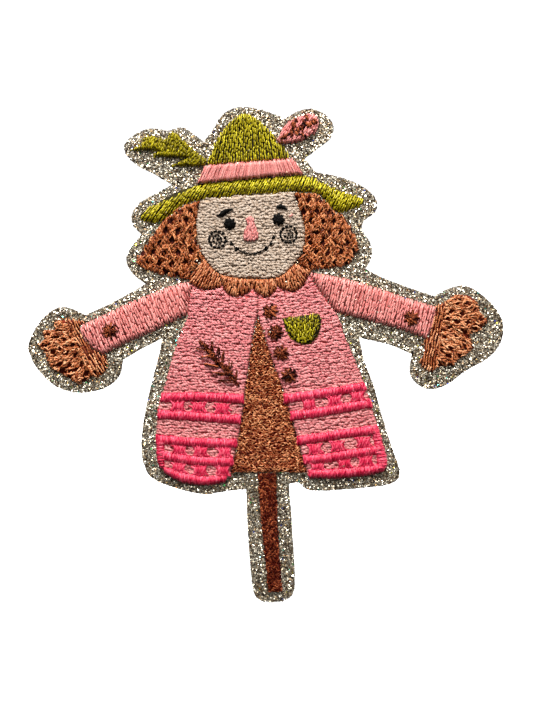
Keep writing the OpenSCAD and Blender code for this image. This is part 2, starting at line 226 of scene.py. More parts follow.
def rungs(area, spine, angles, pitch, reach, rng, ragged=0.0):
    """Satin across a spine, with pitch from each stitch to the next, square to them. The angle that they
    lean by changes along the spine."""
    points, headings, along = walk(spine, pitch / 10)
    leans = np.interp(along, np.linspace(0, 1, len(angles)), angles)
    passed = np.cumsum(np.abs(np.sin(np.radians(leans - headings)))) / 10
    chosen = (np.diff(np.floor(passed), prepend=-1) > 0) & area.holds(points)
    points, leans = points[chosen], leans[chosen]
    start, end = [], []
    for middle, lean in zip(points, leans + rng.normal(0, 1.5, len(leans))):
        at = crossings(turned(area.starts - middle, -lean), turned(area.ends - middle, -lean), 0)
        back = max(at[at < 0], default=-reach)
        ahead = min(at[at > 0], default=reach)
        way = toward(lean)
        start.append(middle + way * (max(back, -reach) + rng.uniform(-1, 1) * ragged))
        end.append(middle + way * (min(ahead, reach) + rng.uniform(-1, 1) * ragged))
    return np.array(start), np.array(end)


def fanned(area, apex, radius, plan):
    """A plan whose +x spreads out from an apex. Its sizes are true at one radius from it."""
    apex = np.asarray(apex, float)
    across, up = area.middle - apex
    facing = math.degrees(math.atan2(up, across))

    def unroll(points):
        x, z = turned(points - apex, -facing).T
        return np.stack([np.hypot(x, z), np.arctan2(z, x) * radius], axis=1)

    def roll(points):
        far, turn = points[:, 0], points[:, 1] / radius
        return apex + turned(np.stack([far * np.cos(turn), far * np.sin(turn)], axis=1), facing)

    start, end = plan(area.mapped(unroll))
    return roll(start), roll(end)


def fan(area, apex, radius, pitch, length, rng, **how):
    """A fill whose rows spread from an apex."""
    return fanned(area, apex, radius, lambda flat_area: fill(flat_area, 0, pitch, length, rng, **how))


def seeds(area, across, up, length, lean, rng):
    """Short stitches at random that lean to the left and right by turns, and cover the area."""
    start, end = [], []
    for j in range(math.floor(area.low[1] / up), math.ceil(area.high[1] / up) + 1):
        for i in range(math.floor(area.low[0] / across), math.ceil(area.high[0] / across) + 1):
            middle = np.array([(i + j % 2 / 2) * across, j * up]) + rng.uniform(-0.3, 0.3, 2) * (across, up)
            angle = rng.normal(0, 14) + (lean if rng.random() < 0.5 else 180 - lean)
            half = toward(angle) * length / 2 * rng.uniform(0.8, 1.2)
            start.append(middle - half)
            end.append(middle + half)
    return kept_inside(area, np.array(start), np.array(end))


def brick(area, wide, tall, stray, rng):
    """Places all over an area in a brick pattern, each moved a little at random."""
    found = [((i + j % 2 / 2) * wide, j * tall)
             for j in range(math.floor(area.low[1] / tall), math.ceil(area.high[1] / tall) + 1)
             for i in range(math.floor(area.low[0] / wide) - 1, math.ceil(area.high[0] / wide) + 1)]
    return np.array(found) + rng.uniform(-stray, stray, (len(found), 2))


def around(plan, holes, radius):
    """The stitches of a plan that pass none of the holes more closely than a radius."""
    start, end = plan
    side = end - start
    away = holes[None] - start[:, None]
    t = np.clip((away * side[:, None]).sum(2) / (side ** 2).sum(1)[:, None], 0, 1)
    nearest = np.linalg.norm(away - t[..., None] * side[:, None], axis=2).min(1)
    return start[nearest > radius], end[nearest > radius]


def kept_inside(area, start, end):
    """The stitches whose middle is in the area, drawn in until their ends are too."""
    inside = area.holds((start + end) / 2)
    start, end = start[inside], end[inside]
    for _ in range(8):
        middle = (start + end) / 2
        start = np.where(area.holds(start)[:, None], start, middle + (start - middle) * 0.85)
        end = np.where(area.holds(end)[:, None], end, middle + (end - middle) * 0.85)
    long_enough = np.linalg.norm(end - start, axis=1) > SHORTEST_SEED
    return start[long_enough], end[long_enough]


SHORTEST_SEED = 0.4


def star(middle, radius, points, rng):
    """Stitches from the middle out to the points of a star, three to a point."""
    start, end = [], []
    for k in range(points):
        way = toward(360 / points * k + rng.uniform(-4, 4))
        for aside in (-0.2, 0.2, 0):
            across = left_of(way) * aside
            start.append(middle + across * 1.3 - way * 0.25)
            end.append(middle + across * 0.3 + way * radius * rng.uniform(0.93, 1.05))
    return np.array(start), np.array(end)


def running(path, length, gap, rng):
    """A running stitch along a path."""
    points, headings, _ = walk(path, length + gap)
    ways = np.array([toward(h) for h in headings + rng.normal(0, 5, len(headings))])
    return points - ways * length / 2, points + ways * length / 2


def split(plan, length, rng, stagger=0.38, loose=0.25):
    """Long stitches cut into short ones of about one length, with cuts staggered from each to the next."""
    start, end = [], []
    for number, (a, b) in enumerate(zip(*plan)):
        size = np.linalg.norm(b - a)
        places = [(k - number * stagger % 1 + rng.uniform(-loose, loose)) * length
                  for k in range(1, math.ceil(size / length) + 1)]
        stops = [0] + [c for c in places if length * 0.35 < c < size - length * 0.35] + [size]
        way = (b - a) / size
        start += [a + way * c for c in stops[:-1]]
        end += [a + way * c for c in stops[1:]]
    return np.array(start), np.array(end)


def hourglass(plan, area, flare, waist):
    """Upright stitches bowed so that together they are wider than the area at its ends, and narrower at
    its middle. The third array is how far each one bows to its left."""
    start, end = plan
    aside = ((start + end) / 2 - area.middle)[:, 0]
    out = np.stack([aside * flare, np.zeros(len(aside))], axis=1)
    return start + out, end + out, aside * (flare + waist)


def thinned(plan, size, level, number):
    """A plan without the stitches where a ripple of about one size is above a level, which leaves holes."""
    start, end = plan
    kept = ripple((start + end) / 2, size, number) < level
    return start[kept], end[kept]


def longer(plan, extra):
    """A plan whose stitches reach further at both ends."""
    start, end = plan
    way = unit(end - start)
    return start - way * extra, end + way * extra


def both(*plans):
    """Several plans as one."""
    return tuple(np.concatenate(parts) for parts in zip(*plans))


# Thread meshes

@dataclass
class Thread:
    """How one kind of thread lies. Sizes are in mm."""
    half_width: float
    half_height: float
    groove: float  # depth of the groove between the two plies, as a share of the radius
    twist: float  # length of thread to one full turn
    bow: float  # how far the middle of a stitch strays to a side
    dive: float  # length over which an end sinks into its needle hole
    sink: float  # how far below the crest it sinks
    uneven: float  # spread of the crest's height
    shade_spread: float  # how much lighter or darker one stitch is than the next
    ring_gap: float  # from one ring of the tube to the next


SIDES = 8
FEWEST_RINGS, MOST_RINGS = 6, 44
SHORTEST_STITCH = 0.12
TIP = 0.05  # how far a stitch's tip stands out past its last ring
THREAD_LOOK, BED_LOOK = 0, 1  # the order of a stitched piece's looks


def placed(name, data):
    """A new object in the scene."""
    thing = bpy.data.objects.new(name, data)
    bpy.context.scene.collection.objects.link(thing)
    return thing


class Piece:
    """Gathers closed solids in mm and makes one Blender mesh of them."""

    def __init__(self):
        self.solids = []
        self.count = 0

    def add(self, places, quads, tris, look=0, strand=0.0, shade=0.5, tint=1.0):
        """places are (x, rise, z). Faces are counted from the first of them."""
        total = len(places)
        quads = np.asarray(quads, int).reshape(-1, 4) + self.count
        tris = np.asarray(tris, int).reshape(-1, 3) + self.count
        self.solids.append((places, quads, tris, np.full(len(quads), look), np.full(len(tris), look),
                            np.broadcast_to(strand, (total, 3)), np.broadcast_to(shade, total),
                            np.broadcast_to(tint, (total, 4))))
        self.count += total

    def make(self, name, looks, slot, *nodes, smooth=True, mirrored=False):
        """Makes the object. It rides on the one body and stands for its CAD nodes. A mirrored one has its
        front and back turned round, about the rise of 0."""
        solids = [np.concatenate(part) for part in zip(*self.solids)]
        places, quads, tris, quad_looks, tri_looks, strand, shade, tint = solids
        if mirrored:
            places, quads, tris = places * (1, -1, 1), quads[:, ::-1], tris[:, ::-1]
        mesh = bpy.data.meshes.new(name)
        mesh.vertices.add(len(places))
        mesh.vertices.foreach_set("co", (places * (MM, -MM, MM)).ravel())
        mesh.loops.add(quads.size + tris.size)
        mesh.loops.foreach_set("vertex_index", np.concatenate([quads.ravel(), tris.ravel()]))
        mesh.polygons.add(len(quads) + len(tris))
        loop_starts = np.concatenate([np.arange(len(quads)) * 4, quads.size + np.arange(len(tris)) * 3])
        mesh.polygons.foreach_set("loop_start", loop_starts)
        looks_used = np.concatenate([quad_looks, tri_looks]).astype(np.int32)
        mesh.polygons.foreach_set("material_index", looks_used)
        mesh.polygons.foreach_set("use_smooth", np.full(len(looks_used), smooth))
        for key, kind, field, values in (("strand", "FLOAT_VECTOR", "vector", strand),
                                         ("shade", "FLOAT", "value", shade),
                                         ("tint", "FLOAT_COLOR", "color", tint)):
            mesh.attributes.new(key, kind, "POINT").data.foreach_set(field, values.ravel())
        mesh.update(calc_edges=True)
        for look in looks:
            mesh.materials.append(look)
        piece = placed(name, mesh)
        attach(piece, "root")
        if nodes:
            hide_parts(*nodes)
        return piece


def lay_threads(piece, plan, crest, thread, rng, lift=0.0, tone=0.0):
    """Adds a closed tube for each stitch. crest gives the rise of the thread's top at each place. A plan
    may have a third array, how far the middle of each stitch lies to the left of its ends."""
    start, end = plan[:2]
    lengths = np.linalg.norm(end - start, axis=1)
    real = lengths > SHORTEST_STITCH
    start, end, lengths = start[real], end[real], lengths[real]
    lift = np.broadcast_to(lift, real.shape)[real] + rng.normal(0, thread.uneven, len(start))
    shade = np.broadcast_to(tone, real.shape)[real] + rng.normal(0.5, thread.shade_spread, len(start))
    bow = rng.normal(0, thread.bow, len(start)) + (plan[2][real] if len(plan) > 2 else 0)
    phase = rng.uniform(0, 2 * math.pi, len(start))
    rings = np.clip(np.ceil(lengths / thread.ring_gap), FEWEST_RINGS, MOST_RINGS).astype(int)
    for count in np.unique(rings):
        pick = rings == count
        t = np.linspace(0, 1, count)
        reach = end[pick] - start[pick]
        size = lengths[pick][:, None]
        way = reach / size
        sway = bow[pick][:, None] * np.sin(math.pi * t)
        plan_at = start[pick][:, None] + reach[:, None] * t[:, None]
        plan_at = plan_at + left_of(way)[:, None] * sway[..., None]
        travelled = size * t
        near_end = np.minimum(travelled, size - travelled)
        held = smooth_step(near_end / np.minimum(thread.dive, size * 0.3) * 0.9 + 0.1)
        top = crest(plan_at.reshape(-1, 2)).reshape(-1, count) + lift[pick][:, None]
        rise = top - thread.half_height - thread.sink * (1 - held)
        centre = np.stack([plan_at[..., 0], rise, plan_at[..., 1]], axis=2)
        along = unit(np.gradient(centre, axis=1))
        side = unit(np.cross(along, (0, 1, 0)))
        up = np.cross(side, along)
        # Looked at with rise towards the viewer, (x, rise, z) is left-handed, so the sides run the other way
        round_ = np.arange(SIDES) / SIDES * 2 * math.pi
        turn = phase[pick][:, None] + 2 * math.pi * travelled / thread.twist
        lobes = np.cos(round_ - turn[..., None]) ** 2
        swell = 1 - thread.groove * lobes
        narrow = (0.7 + 0.3 * held)[..., None]
        width = thread.half_width * narrow * swell * np.cos(round_)
        height = thread.half_height * narrow * swell * np.sin(round_)
        skin = centre[:, :, None] + side[:, :, None] * width[..., None] + up[:, :, None] * height[..., None]
        tips = np.stack([centre[:, 0] - along[:, 0] * TIP, centre[:, -1] + along[:, -1] * TIP], axis=1)
        stitches = len(skin)
        places = np.concatenate([skin.reshape(stitches, -1, 3), tips], axis=1)
        ply = (round_ - turn[..., None]).reshape(stitches, -1)
        walked = np.repeat(travelled + phase[pick][:, None] * 3, SIDES, axis=1)
        strand = np.pad(np.stack([np.cos(ply), np.sin(ply), walked], axis=2), ((0, 0), (0, 2), (0, 0)))
        # Painted shade: each stitch's tone darkens towards its ends, where it dives into its needle hole
        tone_with_painted_shade = np.repeat(shade[pick][:, None] * (0.55 + 0.45 * held), SIDES, axis=1)
        quads, tris = tube_faces(count)
        shift = np.arange(stitches)[:, None, None] * (count * SIDES + 2)
        piece.add(places.reshape(-1, 3), (quads + shift).reshape(-1, 4), (tris + shift).reshape(-1, 3),
                  THREAD_LOOK, strand.reshape(-1, 3), np.pad(tone_with_painted_shade, ((0, 0), (0, 2))).ravel())


def tube_faces(count):
    """The faces of a closed tube of count rings, whose two last points are the tips."""
    k = np.arange(SIDES)
    after = (k + 1) % SIDES
    here = np.arange(count - 1)[:, None] * SIDES
    there = here + SIDES
    quads = np.stack([here + k, here + after, there + after, there + k], axis=-1)
    first_tip, last_tip, last_ring = count * SIDES, count * SIDES + 1, (count - 1) * SIDES
    start_cap = np.stack([np.full(SIDES, first_tip), after, k], axis=1)
    end_cap = np.stack([np.full(SIDES, last_tip), last_ring + k, last_ring + after], axis=1)
    return quads.reshape(-1, 4), np.concatenate([start_cap, end_cap])


def signed_size(loop):
    """Twice a closed outline's area, above 0 where it runs anticlockwise."""
    x, z = loop.T
    return float((x * np.roll(z, -1) - z * np.roll(x, -1)).sum())


def drawn_in(loop, inset):
    """An outline moved towards its inside, which is on its left."""
    before, after = np.roll(loop, 1, axis=0), np.roll(loop, -1, axis=0)
    way = after - before
    way /= np.maximum(np.linalg.norm(way, axis=1, keepdims=True), 1e-9)
    return loop + left_of(way) * inset


def facing_front(points, tris):
    """Flat triangles, each with its corners in the order that faces the front."""
    a, b, c = (points[tris[:, k]] for k in range(3))
    spin = (b[:, 0] - a[:, 0]) * (c[:, 1] - a[:, 1]) - (b[:, 1] - a[:, 1]) * (c[:, 0] - a[:, 0])
    return np.where(spin[:, None] < 0, tris[:, ::-1], tris)


def add_slab(piece, points, tris, sides, back, front, look):
    """Adds a closed solid with the same triangles on both faces. sides are the pairs of points along its
    outline, and back and front are the faces' rises."""
    total = len(points)
    places = np.concatenate([np.insert(points, 1, rise, axis=1) for rise in (front, back)])
    a, b = sides.T
    walls = np.stack([a, a + total, b + total, b], axis=1)
    piece.add(places, walls, np.concatenate([tris, tris[:, ::-1] + total]), look)


def add_bed(piece, area, low, high, inset):
    """Adds the closed pad of crossed underlay stitches that lies under an area's threads."""
    outer = [loop for loop in area.loops if signed_size(loop) > 0]
    holes = [loop for loop in area.loops if signed_size(loop) <= 0]
    for loop in outer:
        mine = [hole for hole in holes if Area([loop]).holds(hole[:1])[0]]
        loops = [drawn_in(part, inset) for part in [loop] + mine]
        points = np.concatenate(loops)
        tris = np.array(geometry.tessellate_polygon([[Vector((x, z, 0)) for x, z in p] for p in loops]))
        add_slab(piece, points, facing_front(points, tris), np.array(sides_of(loops)), low, high, BED_LOOK)


def sides_of(loops):
    """The pairs of neighbours along closed outlines whose points are counted one outline after another."""
    sides, first = [], 0
    for loop in loops:
        count = len(loop)
        sides += [(first + i, first + (i + 1) % count) for i in range(count)]
        first += count
    return sides


def dome(area, low, high, soft, power):
    """The rise of the threads' tops: low at the edge of an area and high from soft mm inside it.
    A power of 2 makes a round roll, and a higher one a flat top with steep sides."""
    def crest(points):
        t = np.clip(area.edge_distance(points) / soft, 0, 1)
        return low + (high - low) * (1 - (1 - t) ** power)
    return crest


# Base sheets

def ripple(points, size, seed):
    """A gentle uneven surface from -1 to 1, with waves about size mm long."""
    rng = np.random.default_rng([CHANCE, seed])
    total = np.zeros(len(points))
    for _ in range(7):
        way = toward(rng.uniform(0, 180)) * 2 * math.pi / (size * rng.uniform(0.7, 1.5))
        total += np.sin(points @ way + rng.uniform(0, 2 * math.pi))
    return total / 4


def add_sheet(piece, area, gap, back, front, rng, fray):
    """Adds a closed sheet. back and front give the rise of its two faces at each place."""
    loops = [finer(loop, gap) for loop in area.loops]
    rim = np.concatenate(loops)
    rim = rim + rng.normal(0, fray, rim.shape)
    across, up = np.arange(area.low[0], area.high[0], gap), np.arange(area.low[1], area.high[1], gap * 0.87)
    inner = np.array([(x + j % 2 * gap / 2, z) for j, z in enumerate(up) for x in across])
    inner = inner + rng.uniform(-0.2, 0.2, inner.shape) * gap
    inner = inner[area.holds(inner)]
    inner = inner[area.edge_distance(inner) > gap * 0.6]
    joined = [Vector(p) for p in np.concatenate([rim, inner])]
    found = geometry.delaunay_2d_cdt(joined, sides_of(loops), [], 1, 1e-5)
    points = np.array(found[0])
    tris = facing_front(points, np.array(found[2]))
    ways = {(a, b) for tri in tris.tolist() for a, b in zip(tri, tri[1:] + tri[:1])}
    sides = np.array(sorted((a, b) for a, b in ways if (b, a) not in ways))
    add_slab(piece, points, tris, sides, back(points), front(points), 0)


def flat(rise):
    """A face at one rise."""
    return lambda points: np.full(len(points), rise)


def uneven(rise, spread, size, seed):
    """A face that strays from one rise."""
    return lambda points: rise + spread * ripple(points, size, seed)


def add_flakes(piece, points, rise, sizes, tints, tilt, rng):
    """Adds six-sided flakes of glitter: each a thin closed chip that leans at random, a few of them far."""
    lean = rng.normal(0, tilt, (len(points), 2)) * np.where(rng.random((len(points), 1)) < 0.3, 3, 1)
    out = unit(np.stack([lean[:, 0], np.ones(len(points)), lean[:, 1]], axis=1))
    first = unit(np.cross(out, (0, 0, 1)))
    second = np.cross(out, first)
    middle = np.stack([points[:, 0], rise, points[:, 1]], axis=1)
    turn = rng.uniform(0, 2 * math.pi, len(points))[:, None] + np.arange(6) * math.pi / 3
    reach = sizes[:, None, None]
    corners = (middle[:, None] + reach * (first[:, None] * np.cos(turn)[..., None]
                                          + second[:, None] * np.sin(turn)[..., None]))
    under = (middle - out * FLAKE_THICK)[:, None]
    places = np.concatenate([corners, under], axis=1)
    top = [(0, 2, 1), (0, 3, 2), (0, 4, 3), (0, 5, 4)]
    tris = np.array(top + [(k, (k + 1) % 6, 6) for k in range(6)])
    shift = np.arange(len(points))[:, None, None] * 7
    piece.add(places.reshape(-1, 3), [], (tris + shift).reshape(-1, 3), tint=np.repeat(tints, 7, axis=0))


FLAKE_THICK = 0.05


# Materials

def srgb(red, green, blue):
    """A colour as a screen shows it, from 0 to 255, as the linear value that a shader takes."""
    parts = [c / 255 for c in (red, green, blue)]
    return tuple(c / 12.92 if c < 0.04 else ((c + 0.055) / 1.055) ** 2.4 for c in parts) + (1,)


class Shader:
    """A material, with a short way to add nodes to it."""

    def __init__(self, name, **settings):
        self.material = bpy.data.materials.new(name)
        self.material.use_nodes = True
        self.tree = self.material.node_tree
        self.surface = self.tree.nodes["Principled BSDF"]
        for key, value in settings.items():
            self.surface.inputs[key.replace("_", " ")].default_value = value

    def node(self, kind, wires=None, **settings):
        """Adds a node and gives its outputs. wires are its inputs: sockets to join, or values."""
        node = self.tree.nodes.new("ShaderNode" + kind)
        for key, value in settings.items():
            setattr(node, key, value)
        for key, value in (wires or {}).items():
            self.wire(value, node.inputs[key])
        return node.outputs

    def wire(self, value, socket):
        """Joins a socket to another, or sets its value."""
        if isinstance(value, bpy.types.NodeSocket):
            self.tree.links.new(value, socket)
        else:
            socket.default_value = value

    def set(self, key, value):
        """Joins or sets an input of the surface."""
        self.wire(value, self.surface.inputs[key])

    def math(self, operation, first, second=0.0, third=0.0):
        """A sum of two or three values."""
        return self.node("Math", {0: first, 1: second, 2: third}, operation=operation)[0]

    def ramp(self, value, *stops):
        """A colour for a value, from (place, colour) stops."""
        node = self.tree.nodes.new("ShaderNodeValToRGB")
        elements = node.color_ramp.elements
        while len(elements) < len(stops):
            elements.new(0.5)
        for element, (place, colour) in zip(elements, stops):
            element.position = place
            element.color = colour
        self.wire(value, node.inputs[0])
        return node.outputs[0]

    def noise(self, place, scale, detail=2.0):
        """A soft noise about 0.5."""
        return self.node("TexNoise", {"Vector": place, "Scale": scale, "Detail": detail})[0]

    def bump(self, height, strength, distance):
        """Presses a height into the surface. distance is in mm."""
        wires = {"Height": height, "Strength": strength, "Distance": distance * MM}
        self.set("Normal", self.node("Bump", wires)[0])


def thread_look(name, dark, middle, light, roughness=0.38, metal=0.0, gloss=0.25, mottle=0.9):
    """Twisted polyester thread. Its strand attribute says where a place is round the two plies, as a
    cosine and a sine, and how far along the stitch. Filaments follow the twist, the groove is darker as
    painted shade, and mottle is how much the shade varies along the thread, at random, with its light
    spots as painted glints."""
    s = Shader(name, Roughness=roughness, Metallic=metal, Specular_IOR_Level=gloss)
    strand = s.node("Attribute", attribute_name="strand")["Vector"]
    x, y, _ = s.node("SeparateXYZ", {0: strand})
    filaments = s.math("SINE", s.math("MULTIPLY", s.math("ARCTAN2", y, x), FILAMENTS))
    stretched = s.node("VectorMath", {0: strand, 1: (1.5, 1.5, 1.3)}, operation="MULTIPLY")[0]
    fibre = s.noise(stretched, 3.0)
    groove = s.math("MULTIPLY", x, x)
    shade = s.node("Attribute", attribute_name="shade")["Fac"]
    # Painted shade: the groove between the two plies is made darker
    tone_with_painted_shade = s.math("MULTIPLY_ADD", groove, -0.35, s.math("ADD", shade, 0.12))
    # The mottle varies the tone at random along the thread, and its light spots paint small glints
    tone_shade_and_glints = s.math("MULTIPLY_ADD", s.math("SUBTRACT", fibre, 0.5), mottle, tone_with_painted_shade)
    s.set("Base Color", s.ramp(tone_shade_and_glints, (0.0, dark), (0.45, middle), (0.95, light)))
    s.bump(s.math("MULTIPLY_ADD", filaments, 0.14, fibre), 0.5, 0.05)
    return s.material


FILAMENTS = 8


def gap_shade_underlay_look(name, dark, light):
    """The underlay that shows between threads: crossed fine thread in shade, given colours darker than
    its thread's as painted shade in the gaps between stitches.
    """
    s = Shader(name, Roughness=0.8, Specular_IOR_Level=0.2)
    place = s.node("TexCoord")["Object"]
    fuzz = s.noise(place, 2500)
    s.set("Base Color", s.ramp(fuzz, (0.35, dark), (0.7, light)))
    s.bump(fuzz, 0.8, 0.1)
    return s.material


def glitter_look():
    """Metallised polyester flakes. Each has its own colour."""
    s = Shader("glitter_flakes", Metallic=0.75, Roughness=0.27)
    s.set("Base Color", s.node("Attribute", attribute_name="tint")["Color"])
    return s.material


def binder_look():
    """Clear glossy binder full of fine glitter over grey cloth."""
    s = Shader("glitter_binder", Roughness=0.35, Metallic=0.3, Coat_Weight=0.4, Coat_Roughness=0.15)
    place = s.node("TexCoord")["Object"]
    grains = s.node("TexVoronoi", {"Vector": place, "Scale": 6500})
    s.set("Base Color", s.ramp(grains[0], (0.1, srgb(110, 96, 78)), (0.45, srgb(52, 42, 32)),
                               (0.8, srgb(24, 18, 12))))
    s.bump(grains[0], 0.6, 0.06)
    return s.material


def cloth_look(name, dark, light, thread_gap, roughness=0.85):
    """Close plain weave, with fuzz where it is cut."""
    s = Shader(name, Roughness=roughness, Specular_IOR_Level=0.25, Sheen_Weight=0.3)
    place = s.node("TexCoord")["Object"]
    x, y, z = s.node("SeparateXYZ", {0: place})
    turns = math.pi / (thread_gap * MM)
    weave = s.math("MULTIPLY", s.math("SINE", s.math("MULTIPLY", x, turns)),
                   s.math("SINE", s.math("MULTIPLY", z, turns)))
    layers = s.math("SINE", s.math("MULTIPLY", y, 2 * math.pi / (LAYER_GAP * MM)))
    fuzz = s.noise(place, 3200, 4.0)
    height = s.math("MULTIPLY_ADD", weave, 0.15, s.math("MULTIPLY_ADD", layers, 0.1, fuzz))
    s.set("Base Color", s.ramp(height, (0.3, dark), (0.75, light)))
    s.bump(height, 0.8, 0.08)
    return s.material


LAYER_GAP = 0.17  # from one layer of cut thread to the next, at an edge


def film_look():
    """Milky hot-melt film with a fine pressed grain."""
    s = Shader("hot_melt_film", Roughness=0.46, Specular_IOR_Level=0.45, Coat_Weight=0.15)
    place = s.node("TexCoord")["Object"]
    cloud = s.noise(place, 90, 3.0)
    grain = s.node("TexVoronoi", {"Vector": place, "Scale": 2600})[0]
    s.set("Base Color", s.ramp(cloud, (0.35, srgb(214, 211, 202)), (0.65, srgb(233, 231, 224))))
    s.bump(s.math("MULTIPLY_ADD", grain, 0.4, cloud), 0.35, 0.06)
    return s.material


# Stitched pieces

FACE_LEAN, LEFT_LEAN, RIGHT_LEAN = 1, -3, 6  # the way the rows run on the face and the coat's two fronts
# half_width, half_height, groove, twist, bow, dive, sink, uneven, shade_spread, ring_gap
TWEED = Thread(0.26, 0.1, 0.4, 1.0, 0.08, 0.2, 0.11, 0.04, 0.1, 0.12)
BLADE = Thread(0.14, 0.15, 0.25, 1.6, 0.04, 0.25, 0.22, 0.05, 0.16, 0.11)
QUILL = Thread(0.15, 0.16, 0.25, 1.4, 0.06, 0.25, 0.2, 0.05, 0.14, 0.12)
WIDE = Thread(0.185, 0.13, 0.2, 1.8, 0.06, 0.3, 0.13, 0.03, 0.1, 0.13)
KNOT = Thread(0.14, 0.15, 0.3, 1.0, 0.05, 0.14, 0.14, 0.06, 0.27, 0.13)
GRAIN = Thread(0.115, 0.12, 0.3, 1.0, 0.03, 0.16, 0.16, 0.06, 0.24, 0.12)
SLEEK = Thread(0.165, 0.12, 0.2, 1.6, 0.05, 0.22, 0.16, 0.035, 0.12, 0.13)
FINE = Thread(0.15, 0.13, 0.35, 1.0, 0.05, 0.12, 0.1, 0.04, 0.1, 0.13)
CHUNKY = Thread(0.24, 0.19, 0.4, 1.25, 0.1, 0.25, 0.25, 0.1, 0.16, 0.13)
LOOSE = Thread(0.165, 0.14, 0.5, 0.9, 0.06, 0.3, 0.26, 0.1, 0.18, 0.1)
STRAW = Thread(0.15, 0.14, 0.45, 0.8, 0.06, 0.22, 0.22, 0.1, 0.2, 0.1)
HAIR = Thread(0.105, 0.11, 0.3, 1.2, 0.05, 0.3, 0.16, 0.035, 0.14, 0.2)
DASH = Thread(0.2, 0.13, 0.2, 1.25, 0.02, 0.1, 0.08, 0.05, 0.1, 0.13)
BOBBIN = Thread(0.2, 0.1, 0.1, 1.25, 0.03, 0.35, 0.12, 0.01, 0.1, 0.36)
WISP = Thread(0.13, 0.12, 0.42, 1.25, 0.1, 0.25, 0.2, 0.1, 0.2, 0.13)
HAIRLINE = Thread(0.14, 0.12, 0.42, 1.25, 0.07, 0.15, 0.15, 0.05, 0.1, 0.13)


def yarn(name, dark, middle, light, bed_dark, bed_light, slot="", bed="", **how):
    """A thread's slot, and the looks of the thread and of the bed under it. The bed's colours are mostly
    darker than the thread's, as painted shade in the gaps between stitches.
    """
    looks = (thread_look("thread_" + name, srgb(*dark), srgb(*middle), srgb(*light), **how),
             gap_shade_underlay_look((bed or name) + "_underlay_gap_shade", srgb(*bed_dark), srgb(*bed_light)))
    return "thread_" + (slot or name), looks


# The last two colours of each yarn are its bed's, mostly darker than the thread: painted shade in the gaps
# between stitches
OLIVE = yarn("olive", (60, 50, 0), (160, 145, 8), (222, 208, 50), (22, 18, 0), (50, 43, 0), mottle=1.2)
PINK = yarn("pink", (168, 70, 68), (218, 132, 125), (246, 178, 168), (186, 88, 80), (214, 118, 108))
COAT_PINK = yarn("coat_pink", (166, 68, 74), (204, 118, 118), (236, 168, 163), (186, 72, 70), (212, 100, 96),
                 slot="pink", bed="coat")
HOT_PINK = yarn("hot_pink", (140, 0, 26), (210, 28, 70), (250, 116, 138), (150, 0, 30), (196, 0, 56),
                roughness=0.34, gloss=0.4)
RUST = yarn("rust", (54, 2, 0), (152, 70, 20), (236, 162, 110), (40, 2, 0), (76, 12, 2), mottle=1.7)
COPPER = yarn("copper", (104, 26, 6), (184, 108, 64), (238, 176, 134), (80, 14, 0), (130, 44, 14),
              mottle=1.3)
STRAW_RUST = yarn("straw", (84, 14, 0), (186, 100, 50), (248, 186, 138), (66, 8, 0), (112, 34, 8),
                  slot="rust", mottle=1.8)
# The strong mottle of the next three threads varies their tone and paints small light glints at its light
# spots
METALLIC = yarn("metallic_copper", (70, 4, 0), (162, 68, 26), (252, 176, 122), (56, 4, 0), (96, 22, 2),
                bed="metallic", roughness=0.32, metal=0.4, mottle=2.0)
BROWN = yarn("dark_brown", (18, 0, 0), (68, 8, 2), (198, 108, 66), (20, 0, 0), (50, 4, 0),
             bed="brown", gloss=0.08, mottle=2.2)
WINE = yarn("wine_brown", (42, 0, 0), (88, 12, 0), (204, 112, 70), (44, 0, 0), (80, 14, 4),
            bed="wine", roughness=0.4, metal=0.4, gloss=0.1, mottle=2.0)
BEIGE = yarn("beige", (146, 121, 98), (178, 157, 138), (203, 186, 168), (164, 138, 112), (198, 174, 150))
ROSE = yarn("rose", (176, 94, 90), (202, 126, 120), (228, 160, 152), (170, 88, 84), (200, 120, 114))
BLACK = yarn("black", (1, 0, 0), (3, 2, 1), (20, 15, 11), (1, 0, 0), (6, 4, 3), roughness=0.5, gloss=0.08)

made = []  # the areas stitched so far, with their fronts' rise


def stitch(node, colour, thread, plan, soft=0.6, edge=0.4, bed=0.5, inset=0.15, spread=0.0, power=2.5,
           tone=0.0):
    """Covers a CAD node's place with threads over a bed. plan gives the stitches for an area.
    soft and power shape the dome that the threads lie on, edge and bed are rises as shares of the node's
    thickness, inset is how far the bed keeps inside the outline, spread is an extra scatter of heights,
    and tone makes the threads lighter or darker."""
    slot, looks = colour
    area = front_area(node)
    back, front = depth(node)
    rng = np.random.default_rng([CHANCE, len(made)])
    stitches = plan(area, rng)
    piece = Piece()
    add_bed(piece, area, back, back + (front - back) * bed, inset)
    crest = dome(area, back + (front - back) * edge, front, soft, power)
    lay_threads(piece, stitches, crest, thread, rng, rng.uniform(-1, 1, len(stitches[0])) * spread, tone)
    made.append((area, front))
    piece.make(node + "_threads", looks, slot, node)


def laid(kind, *shape, **how):
    """A plan of one kind that waits for its area and its random draws."""
    return lambda area, rng: kind(area, *shape, rng, **how)


